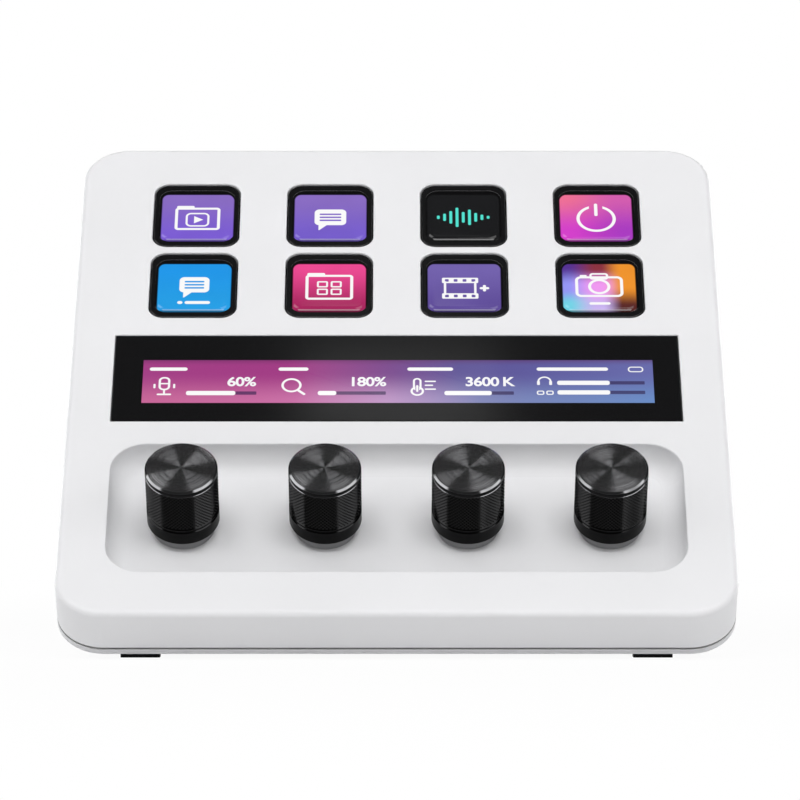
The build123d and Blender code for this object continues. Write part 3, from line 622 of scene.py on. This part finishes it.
def key_picture(name, x, v, drawing, background, ink_colour):
    """A key's clear face: a lit picture with a black surround under a glossy skin."""
    paint = Paint(name)
    px, pv, _ = paint.split(paint.panel(x * DEPTH_SHARE, v + WINDOW_SHIFT))
    sketch = Sketch(paint, px, pv)
    window = ink(sketch.box(0, 0, *WINDOW), WINDOW_SOFT)
    backlit = paint.noise(paint.panel(), 0.16, 1.0) * 0.12 + 0.94
    ground = background(paint, px, pv)
    ground = paint.make(
        "ShaderNodeMix", {"data_type": "RGBA", "blend_type": "MULTIPLY"},
        {0: 1.0, 6: ground, 7: paint.join(backlit, backlit, backlit)}, output=2,
    )
    picture = paint.mix(ground, ink_colour, ink(drawing(sketch)))
    # painted shade: the picture dims at its near edge, under the lens's steep rounding
    window = window * pv.rise(*NEAR_PAINTED_SHADE, NEAR_SHARE)
    return paint.done(
        Base_Color=paint.mix((0.003, 0.003, 0.0033, 1), (0.007, 0.007, 0.0077, 1), window),
        Roughness=0.05 + paint.smears((0.1, 0.2, 0.2)) * 0.08,
        Emission_Color=paint.mix((0, 0, 0, 1), picture, window),
        Emission_Strength=GLOW,
    )


# ---- pieces: small tools ----
def alone(piece):
    """Selects one piece and nothing else."""
    bpy.ops.object.select_all(action="DESELECT")
    piece.select_set(True)
    bpy.context.view_layer.objects.active = piece


def settle(piece, matrix):
    """Puts a piece made at the origin into its place, inside its mesh."""
    alone(piece)
    piece.matrix_world = matrix
    bpy.ops.object.transform_apply(location=True, rotation=True, scale=True)


def edit(piece):
    """Goes into edit mode on one piece."""
    alone(piece)
    bpy.ops.object.mode_set(mode="EDIT")


def leave(piece):
    """Closes any open edge, turns the faces outwards and goes back to object mode."""
    bpy.ops.mesh.select_mode(type="EDGE")
    bpy.ops.mesh.select_all(action="DESELECT")
    bpy.ops.mesh.select_non_manifold()
    bpy.ops.mesh.edge_face_add()
    bpy.ops.mesh.select_all(action="SELECT")
    bpy.ops.mesh.normals_make_consistent(inside=False)
    bpy.ops.mesh.select_mode(type="VERT")
    bpy.ops.object.mode_set(mode="OBJECT")


def pick(piece, test):
    """In edit mode, selects the corners for which the test holds."""
    bpy.ops.mesh.select_mode(type="VERT")
    bpy.ops.mesh.select_all(action="DESELECT")
    mesh = bmesh.from_edit_mesh(piece.data)
    for corner in mesh.verts:
        corner.select_set(test(corner.co))
    mesh.select_flush(True)
    bmesh.update_edit_mesh(piece.data)


def lift(height):
    """In edit mode, extrudes what is selected upwards."""
    bpy.ops.mesh.extrude_region_move(TRANSFORM_OT_translate={"value": (0, 0, height)})


def smooth(piece, degrees):
    """Shades a piece smooth, but not over edges that bend more than this."""
    alone(piece)
    bpy.ops.object.shade_smooth_by_angle(angle=math.radians(degrees))


def rounded_sheet(name, width, length, corner, rounds):
    """A flat round-cornered face on the origin, left in edit mode with the face selected."""
    bpy.ops.object.select_all(action="DESELECT")
    bpy.ops.mesh.primitive_plane_add(size=1)
    piece = bpy.context.object
    piece.name = name
    edit(piece)
    bpy.ops.transform.resize(value=(width, length, 1))
    bpy.ops.mesh.bevel(offset=corner, segments=rounds, affect="VERTICES")
    bpy.ops.mesh.select_mode(type="FACE")
    bpy.ops.mesh.select_all(action="SELECT")
    return piece


def rounded_plate(name, width, length, corner, height, rounds, steps=()):
    """A round-cornered plate that stands on the origin, its top drawn in by steps (in, up)."""
    piece = rounded_sheet(name, width, length, corner, rounds)
    lift(height)
    for inward, upward in steps:
        bpy.ops.mesh.inset(thickness=inward, depth=upward)
    leave(piece)
    return piece


def rounded_ring(name, width, length, corner, height, rounds, wall):
    """A round-cornered frame that stands on the origin."""
    piece = rounded_sheet(name, width, length, corner, rounds)
    bpy.ops.mesh.inset(thickness=wall)
    bpy.ops.mesh.delete(type="FACE")
    bpy.ops.mesh.select_all(action="SELECT")
    lift(height)
    leave(piece)
    return piece


def turned_bar(name, sides, stations):
    """A bar turned to (radius, height) stations, from its underside up, left in edit mode."""
    bpy.ops.object.select_all(action="DESELECT")
    radius, level = stations[0]
    bpy.ops.mesh.primitive_circle_add(
        vertices=sides, radius=radius, fill_type="NGON", location=(0, 0, level)
    )
    piece = bpy.context.object
    piece.name = name
    bpy.ops.object.transform_apply(location=True)
    edit(piece)
    bpy.ops.mesh.select_mode(type="FACE")
    bpy.ops.mesh.select_all(action="SELECT")
    for new_radius, new_level in stations[1:]:
        lift(new_level - level)
        if new_radius != radius:
            share = new_radius / radius
            bpy.ops.transform.resize(value=(share, share, 1), center_override=(0, 0, new_level))
        radius, level = new_radius, new_level
    return piece


def pillow(width, steepest, count):
    """Inset steps that round a plate's top edge off, from the steepest slope in degrees to level."""
    slopes = [math.radians(steepest) * (1 - i / count) for i in range(count + 1)]
    radius = width / math.sin(slopes[0])
    return [
        (radius * (math.sin(a) - math.sin(b)), radius * (math.cos(b) - math.cos(a)))
        for a, b in zip(slopes, slopes[1:])
    ]


def copies(first, name, count):
    """A piece and further ones like it, each with its own mesh, named by number from 2 on."""
    row = [first]
    for number in range(2, count + 1):
        twin = first.copy()
        twin.data = first.data.copy()
        twin.name = f"{name}_{number}"
        bpy.context.scene.collection.objects.link(twin)
        row.append(twin)
    return row


# ---- knobs ----
KNOB_SIDES = 240
KNOB_RADIUS = 7.55
KNURL_LOW, KNURL_HIGH, KNURL_ROWS = 0.95, 10.55, 44
KNURL_DEPTH = 0.26  # of the grooves between its ridges
NOTCH = 0.6  # of that depth, cut across the ridges
NOTCH_SIDES = 4  # from one notch to the next


def make_knob():
    """A turned knob: smooth foot, groove, grip of notched ridges, narrow land, bright-cut edge."""
    step = (KNURL_HIGH - KNURL_LOW) / KNURL_ROWS
    rows = [(KNOB_RADIUS, KNURL_LOW + step * i) for i in range(KNURL_ROWS + 1)]
    stations = [
        (7.0, -3.0), (7.3, -3.0), (7.48, -2.93), (KNOB_RADIUS, -2.75), (KNOB_RADIUS, 0.08),
        (7.29, 0.3), (7.25, 0.36), (7.25, 0.74), (7.27, 0.77), (7.5, 0.8),
        *rows,
        (7.45, 10.63), (7.4, 10.7), (7.4, 10.95), (7.5, 11.0), (7.53, 11.06), (7.53, 11.64),
        (7.1, 12.0), (5.0, 12.0), (2.5, 12.0), (0.6, 12.0),
    ]
    piece = turned_bar("knob_grip_1", KNOB_SIDES, stations)

    def sunk(co):
        """How far a corner of the grip is cut in, as a share of the full depth."""
        row = (co.z - KNURL_LOW) / step
        if not 0.5 < row < KNURL_ROWS - 0.5 or math.hypot(co.x, co.y) < KNOB_RADIUS - 0.03:
            return 0
        if round(row) % 2:
            return 1.0
        side = round(math.atan2(co.y, co.x) / (2 * math.pi) * KNOB_SIDES)
        return 0 if (side + round(row)) % NOTCH_SIDES else NOTCH

    cuts = {tuple(corner.co): sunk(corner.co) for corner in bmesh.from_edit_mesh(piece.data).verts}
    for depth in (1.0, NOTCH):
        pick(piece, lambda co: cuts.get(tuple(co)) == depth)
        share = 1 - KNURL_DEPTH * depth / KNOB_RADIUS
        bpy.ops.transform.resize(value=(share, share, 1), center_override=(0, 0, 0))
    leave(piece)
    smooth(piece, 12)
    return piece


knob_finish = anodised("black_anodised_aluminium")
knobs = copies(make_knob(), "knob_grip", len(COLUMNS))
for number, (knob, x) in enumerate(zip(knobs, COLUMNS), 1):
    settle(knob, on_panel(x, KNOB_ROW))
    wear(knob, knob_finish)
    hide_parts(f"knob_{number}")
    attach(knob, f"dial_{number}")

# ---- keys ----
LENS = (17.4, 17.7, 3.1)  # of a key's clear face: width, length and corner
LENS_EDGE = (1.75, 50, 16)  # of its domed edge: width, steepest slope and number of steps
LENS_SHIFT = -0.05  # towards the near edge
LENS_LOW, LENS_WALL = -0.55, 0.05  # its foot from the panel's face, and its upright side
places = [(x, v) for v in KEY_ROWS for x in COLUMNS]
first_lens = rounded_plate("key_face_1", *LENS, LENS_WALL, 8, pillow(*LENS_EDGE))
smooth(first_lens, 50)
lenses = copies(first_lens, "key_face", len(places))
for number, (lens, (x, v), picture) in enumerate(zip(lenses, places, PICTURES), 1):
    settle(lens, on_panel(x, v + LENS_SHIFT, LENS_LOW))
    wear(lens, key_picture(f"lit_picture_{number}", x, v, *picture))
    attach(lens, f"key_{number}")

# ---- key mat: a sheet with a window under each key, and a lip round each window; the real lips give when a key is pressed ----
MAT = (122.0, 47.6, 0.5)  # width, length and corner, as of its windows and its lips
MAT_MIDDLE = sum(KEY_ROWS) / 2
MAT_TOP, MAT_THICK = -4.6, 0.5
MAT_WINDOW = (17.1, 18.8, 2.35)
LIP = (18.5, 20.2, 3.15)
LIP_WALL, LIP_HEIGHT = 0.7, 1.0

silicone = rubber("black_silicone", (0.015, 0.015, 0.016, 1))
sheet = rounded_plate("key_mat_sheet", *MAT, MAT_THICK, 2)
settle(sheet, on_panel(0, MAT_MIDDLE, MAT_TOP - MAT_THICK))
for x, v in places:
    window = rounded_plate("mat_window", *MAT_WINDOW, 4 * MAT_THICK, 6)
    settle(window, on_panel(x, v, MAT_TOP - 2 * MAT_THICK))
    alone(sheet)
    hole = sheet.modifiers.new("window", "BOOLEAN")
    hole.operation, hole.object, hole.solver = "DIFFERENCE", window, "EXACT"
    bpy.ops.object.modifier_apply(modifier=hole.name)
    alone(window)
    bpy.ops.object.delete()
smooth(sheet, 30)
wear(sheet, silicone)
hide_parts("key_mat")
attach(sheet, "housing")

first_lip = rounded_ring("key_mat_lip_1", *LIP, LIP_HEIGHT, 6, LIP_WALL)
smooth(first_lip, 30)
lips = copies(first_lip, "key_mat_lip", len(places))
for number, (lip, (x, v)) in enumerate(zip(lips, places), 1):
    settle(lip, on_panel(x, v, MAT_TOP))
    wear(lip, silicone)
    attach(lip, "housing")
    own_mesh(lip)

# ---- touch strip ----
STRIP = (109.2, 13.2)  # of its lit picture: width and length
STRIP_MIDDLE = 68.3
STRIP_SHIFT = 0.28
STRIP_PARTS = 4
PART_WIDTH = STRIP[0] / STRIP_PARTS
PART_START = 0.2 - PART_WIDTH / 2  # where what is drawn on a part is measured from
LABEL_ROW, LABEL_RADIUS = 3.8, 0.5
METER_THICK = 1.3
PICTURE_SUNK, PICTURE_RISE = 0.1, 0.012  # under and over the glass


def part_middle(number):
    """Where the middle of one part of the strip is across the panel."""
    return STRIP_SHIFT + (number - (STRIP_PARTS + 1) / 2) * PART_WIDTH


def strip_shade(p, x, v):
    """The strip's background over its whole width: rose, through violet, to blue."""
    along = x / STRIP[0] + 0.5
    far = p.ramp(
        along, (0.0, straight(166, 60, 134)), (0.3, straight(162, 54, 132)),
        (0.48, straight(120, 60, 138)), (0.62, straight(88, 76, 148)), (1.0, straight(104, 108, 174)),
    )
    near = p.ramp(
        along, (0.0, straight(204, 104, 154)), (0.3, straight(204, 112, 168)),
        (0.48, straight(192, 150, 198)), (0.66, straight(128, 134, 184)), (1.0, straight(106, 142, 200)),
    )
    return p.mix(p.mix(near, far, v.rise(-7.0, 3.0)), straight(96, 40, 92), v.rise(4.6, 8.4))


def meter(s, left, right, y, share):
    """A filled bar, and the dark rest of it."""
    split = left + (right - left) * share
    full = s.box((left + split) / 2, y, split - left, METER_THICK, 0.5)
    rest = s.box((split + right) / 2, y, right - split, METER_THICK * 0.8, 0.2)
    return full, rest


def microphone(s, middle):
    return (
        s.ring(s.box(middle, -0.7, 2.0, 3.6, 0.9), 0.46),
        s.dash(middle - 0.9, -0.7, middle + 0.9, -0.7, 0.2),
        s.dash(middle - 2.1, -1.0, middle - 2.1, -1.9, 0.22),
        s.dash(middle + 2.1, -1.0, middle + 2.1, -1.9, 0.22),
        s.dash(middle, -2.6, middle, -3.8, 0.2),
        s.dash(middle - 1.3, -4.0, middle + 1.3, -4.0, 0.24),
    )


def magnifier(s, middle):
    return (
        s.ring(s.disc(middle, -1.2, 1.9), 0.5),
        s.dash(middle + 1.4, -2.7, middle + 2.7, -3.9, 0.3),
    )


def thermometer(s, middle):
    tube = s.together(
        s.ring(s.box(middle, -0.9, 1.4, 3.4, 0.7), 0.42), s.ring(s.disc(middle, -3.0, 1.2), 0.46)
    )
    return (
        s.cut(tube, s.box(middle, -2.3, 0.8, 1.3)),
        s.dash(middle, -1.4, middle, -3.0, 0.22),
        s.dash(middle + 1.8, 0.0, middle + 3.8, 0.0, 0.2),
        s.dash(middle + 1.8, -1.2, middle + 3.2, -1.2, 0.2),
        s.dash(middle + 1.8, -2.4, middle + 3.8, -2.4, 0.2),
    )


def headphones(s, middle):
    """Headphones over two small screens, and a third at the right end of the part."""
    return (
        s.cut(s.ring(s.disc(middle, 0.0, 1.3), 0.38), s.box(middle, -1.4, 4.0, 2.2)),
        s.box(middle - 1.3, -0.5, 0.6, 1.2, 0.2),
        s.box(middle + 1.3, -0.5, 0.6, 1.2, 0.2),
        s.ring(s.box(middle - 0.9, -3.5, 1.3, 1.0, 0.3), 0.28),
        s.ring(s.box(middle + 1.1, -3.5, 1.3, 1.0, 0.3), 0.28),
        s.ring(s.box(PART_WIDTH / 2 - 3.7, 3.7, 3.0, 1.4, 0.6), 0.28),
    )


# for each part: the ends of a bar that stands for a word, the sign and its middle, and of each
# meter its ends, its row and the share that is filled
PARTS = (
    ((1.7, 8.8), microphone, 4.5, ((9.2, 24.2, -3.6, 0.7),)),
    ((2.0, 7.4), magnifier, 4.35, ((10.0, 24.5, -3.6, 0.27),)),
    ((2.3, 11.1), thermometer, 3.9, ((9.7, 24.5, -3.6, 0.68),)),
    ((2.7, 17.0), headphones, 3.8, ((6.5, 25.2, -0.45, 0.6), (6.5, 25.2, -3.4, 0.6))),
)


def strip_marks(s, number):
    """White marks and dark marks of one part of the strip."""
    (start, end), sign, middle, meters = PARTS[number - 1]
    label = s.dash(PART_START + start, LABEL_ROW, PART_START + end, LABEL_ROW, LABEL_RADIUS)
    bars = [meter(s, PART_START + left, PART_START + right, *more) for left, right, *more in meters]
    full, rest = zip(*bars)
    return s.together(label, *sign(s, PART_START + middle), *full), s.together(*rest)


def strip_picture(number, x):
    """One part of the strip: its background, its white marks and its dark ones, all lit."""
    paint = Paint(f"lit_strip_{number}")
    px, pv, _ = paint.split(paint.panel(x, STRIP_MIDDLE))
    white, dark = strip_marks(Sketch(paint, px, pv), number)
    ground = strip_shade(paint, px + x, pv)
    ground = paint.mix(ground, straight(52, 34, 84), ink(dark) * 0.8)
    smears = paint.smears()
    return paint.done(
        Base_Color=paint.mix((0.006, 0.006, 0.007, 1), (0.012, 0.012, 0.013, 1), smears),
        Roughness=0.05 + smears * 0.05,
        Emission_Color=paint.mix(ground, WHITE, ink(white)),
        Emission_Strength=GLOW,
    )


for number in range(1, STRIP_PARTS + 1):
    x = part_middle(number)
    part = rounded_plate(
        f"strip_picture_{number}", PART_WIDTH, STRIP[1], corner=0.01,
        height=PICTURE_SUNK + PICTURE_RISE, rounds=1, steps=[(0.2, 0.0)],
    )
    settle(part, on_panel(x, STRIP_MIDDLE, GLASS_TOP - PICTURE_SUNK))
    wear(part, strip_picture(number, x))
    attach(part, "housing")


def lit_figures():
    """The plain light of the strip's figures, a little uneven as from a backlight."""
    paint = Paint("lit_figures")
    uneven = paint.noise(paint.panel(), 0.5, 2.0)
    return paint.done(
        Base_Color=paint.mix((0.02, 0.02, 0.02, 1), (0.03, 0.03, 0.03, 1), uneven),
        Roughness=0.06 + uneven * 0.05,
        Emission_Color=paint.mix((0.9, 0.9, 0.93, 1), WHITE, uneven),
        Emission_Strength=GLOW,
    )


# for each row of figures: its part of the strip, and how far it ends from the part's right end
FIGURES = ((1, "60%", 3.0), (2, "180%", 2.5), (3, "3600 K", 2.5))
FIGURE_HEIGHT = 3.85
FIGURE_FOOT = -1.4  # from the strip's middle
FIGURE_RISE = 0.005  # over the lit picture
figure_light = lit_figures()
for number, words, inset in FIGURES:
    bpy.ops.object.select_all(action="DESELECT")
    bpy.ops.object.text_add()
    text = bpy.context.object
    text.name = f"strip_figures_{number}"
    text.data.body = words
    text.data.align_x = "RIGHT"
    text.data.size = FIGURE_HEIGHT
    text.data.offset = 0.09
    text.data.space_character = 0.94
    text.data.space_word = 0.8
    text.data.extrude = 0.01
    text.data.resolution_u = 4
    alone(text)
    bpy.ops.object.convert(target="MESH")
    text = bpy.context.object
    x = part_middle(number) + PART_WIDTH / 2 - inset
    height = GLASS_TOP + PICTURE_RISE + FIGURE_RISE
    settle(text, on_panel(x, STRIP_MIDDLE + FIGURE_FOOT, height))
    wear(text, figure_light)
    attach(text, "housing")

# ---- finishes of the parts that stay as they are ----
PALE = (0.80, 0.80, 0.815, 1)
# painted shade, for the shadow in the gap where the shells meet
PAINTED_SEAM_SHADOW = (0.42, 0.42, 0.42, 1)
# painted shade, for the shadow under each knob
PAINTED_KNOB_SHADOW = (0.23, 0.23, 0.234, 1)


def numbered(name, count):
    """The names of a row of like parts."""
    return [f"{name}_{number}" for number in range(1, count + 1)]


finish_nodes(
    moulded("pale_shell", PALE, gloss=0.22, knob_shadow=PAINTED_KNOB_SHADOW, seam_shadow=PAINTED_SEAM_SHADOW), "top_shell"
)
finish_nodes(moulded("pale_stand", PALE), "stand_shell")
# painted shade: the cover is the shell's pale plastic, drawn darker for the shade it sits in, facing
# down
finish_nodes(moulded("pale_cover_painted_shade", (0.68, 0.68, 0.695, 1), seam_shadow=PAINTED_SEAM_SHADOW), "back_cover")
finish_nodes(moulded("grey_base", (0.5, 0.5, 0.52, 1), 0.5), "base_plate")
finish_nodes(glazed("black_cap", (0.005, 0.005, 0.0055, 1), 0.12, 0.1), *numbered("key_cap", 8))
finish_nodes(glazed("printed_glass", (0.006, 0.006, 0.0065, 1)), "strip_glass")
finish_nodes(glazed("panel_glass", (0.012, 0.013, 0.016, 1)), "lcd_panel", "touch_sensor")
finish_nodes(moulded("diffuser_film", (0.75, 0.76, 0.78, 1), 0.5, 0.002), "lcd_backlight")
finish_nodes(silicone, "key_mat")
finish_nodes(
    board("green_board", (0.01, 0.09, 0.045, 1)),
    "key_board", "encoder_board", "main_board", "usb_board",
)
finish_nodes(moulded("carrier_plastic", (0.03, 0.03, 0.032, 1), 0.5), "display_carrier")
finish_nodes(
    metal("screw_steel", (0.55, 0.55, 0.56, 1), 0.32),
    "carrier_screws", "cover_screws", "encoder_screws", "main_screws", "stand_screws",
    "base_screws", "usb_screws",
)
finish_nodes(metal("shaft_steel", (0.6, 0.6, 0.61, 1), 0.25), *numbered("encoder_shaft", 4))
finish_nodes(metal("encoder_case", (0.5, 0.5, 0.48, 1), 0.38), *numbered("encoder_body", 4))
finish_nodes(
    moulded("plunger_plastic", (0.02, 0.02, 0.021, 1), 0.4), *numbered("switch_plunger", 4)
)
finish_nodes(
    film("ribbon_film", (0.35, 0.17, 0.03, 1), (0.55, 0.3, 0.1, 1)),
    "display_ribbon", "encoder_ribbon",
)
finish_nodes(
    moulded("socket_plastic", (0.55, 0.5, 0.4, 1), 0.45), "ribbon_sockets", "lead_sockets"
)
finish_nodes(moulded("chip_epoxy", (0.018, 0.018, 0.018, 1), 0.55), "main_chips")
finish_nodes(metal("zinc_plate", (0.45, 0.46, 0.47, 1), 0.42, (0.2, 3.0, 3.0)), "ballast_plate")
finish_nodes(
    rubber("foot_rubber", (0.006, 0.006, 0.0065, 1)),
    *numbered("front_foot", 2), *numbered("rear_foot", 2),
)
finish_nodes(metal("port_steel", (0.62, 0.62, 0.63, 1), 0.22), "usb_c_port")
finish_nodes(rubber("lead_jacket", (0.02, 0.02, 0.02, 1), 0.5), "usb_lead")

# ---- studio ----
scene = bpy.context.scene
scene.view_settings.view_transform = "Standard"

bpy.ops.object.select_all(action="DESELECT")
bpy.ops.mesh.primitive_plane_add(size=12)
floor = bpy.context.object
floor.name = "studio_floor"
paint = Paint("pale_floor")
distance = paint.make("ShaderNodeVectorMath", {"operation": "LENGTH"}, {0: paint.place}, output=1)
grey = paint.mix((0.86, 0.86, 0.86, 1), (0.9, 0.9, 0.9, 1), paint.noise(paint.place, 3.0))
dull = paint.make("ShaderNodeBsdfDiffuse", values={"Color": grey})
white = paint.make("ShaderNodeEmission", values={"Color": WHITE, "Strength": 1.0})
# camera, glossy and transmission rays find the floor lit, a little less so near the object
rays = ("Is Camera Ray", "Is Glossy Ray", "Is Transmission Ray")
seen = sum(paint.make("ShaderNodeLightPath", output=ray) for ray in rays).least(1.0)
share = seen * (0.94 + 0.06 * distance.rise(0.12, 0.35))
paint.make_output(paint.make("ShaderNodeMixShader", values={0: share, 1: dull, 2: white}))
wear(floor, paint.material)

world = bpy.data.worlds.new("studio")
scene.world = world
sky = Maker(world)

# a white backdrop round the sides and the back, dark over the object and in front of it
DARK = 0.04
_, along, up = sky.split(sky.make("ShaderNodeTexCoord", output="Generated"))
backdrop = up.rise(0.12, 0.24, 1.0, 0.0) * along.rise(-0.65, -0.5)
path = sky.make("ShaderNodeLightPath", output="Is Camera Ray")
level = sky.make(
    "ShaderNodeMix", {"data_type": "FLOAT"}, {0: path, 2: backdrop.rise(0.0, 1.0, DARK, 1.0), 3: 1.0}
)
background = sky.make("ShaderNodeBackground", values={"Color": WHITE, "Strength": level})
sky.make_output(background, "ShaderNodeOutputWorld")

MIDDLE = Vector((0.0, 0.0, 0.05))  # of the object


def softbox(name, way, distance, width, height, power, roll=0.0, mirrored=True):
    """A lamp that looks at the object from a direction; glossy faces show it only if mirrored."""
    lamp = bpy.data.lights.new(name, "AREA")
    lamp.shape = "RECTANGLE"
    lamp.size, lamp.size_y, lamp.energy = width, height, power
    piece = bpy.data.objects.new(name, lamp)
    scene.collection.objects.link(piece)
    way = Vector(way).normalized()
    piece.location = MIDDLE + way * distance
    turn = (-way).to_track_quat("-Z", "Y") @ Quaternion((0.0, 0.0, 1.0), math.radians(roll))
    piece.rotation_euler = turn.to_euler()
    piece.visible_glossy = mirrored


softbox("left_key", (-0.43, -0.27, 0.86), 2.4, 0.84, 0.84, 5.8)
softbox("right_key", (0.26, -0.42, 0.87), 2.4, 0.92, 0.92, 4.9)
softbox("left_strip", (-0.846, -0.3, 0.442), 2.5, 2.3, 0.33, 10.5, -16.0)
softbox("right_strip", (0.733, -0.562, 0.383), 2.5, 2.6, 0.3, 10.5, 16.0)
softbox("front_fill", (0.0, -0.75, 0.66), 2.0, 1.8, 0.6, 16.2)
softbox("soft_fill", (0.0, -0.3, 0.95), 2.0, 4.0, 4.0, 22.0, mirrored=False)
softbox("left_back", (-0.6, 0.78, 0.2), 1.2, 0.9, 0.5, 4.0)
softbox("right_back", (0.6, 0.78, 0.2), 1.2, 0.9, 0.5, 4.0)
softbox("small_skylight", (0.0, 0.012, 1.0), 1.2, 0.09, 0.045, 0.012)

camera_data = bpy.data.cameras.new("camera")
camera_data.sensor_width = 36.0
camera_data.lens = 208.8
camera_data.clip_start = 0.01
camera = bpy.data.objects.new("camera", camera_data)
scene.collection.objects.link(camera)
camera.location = (0.0007, -1.012, 0.0531)
camera.rotation_euler = (math.radians(90.0), 0.0, 0.0)
scene.camera = camera
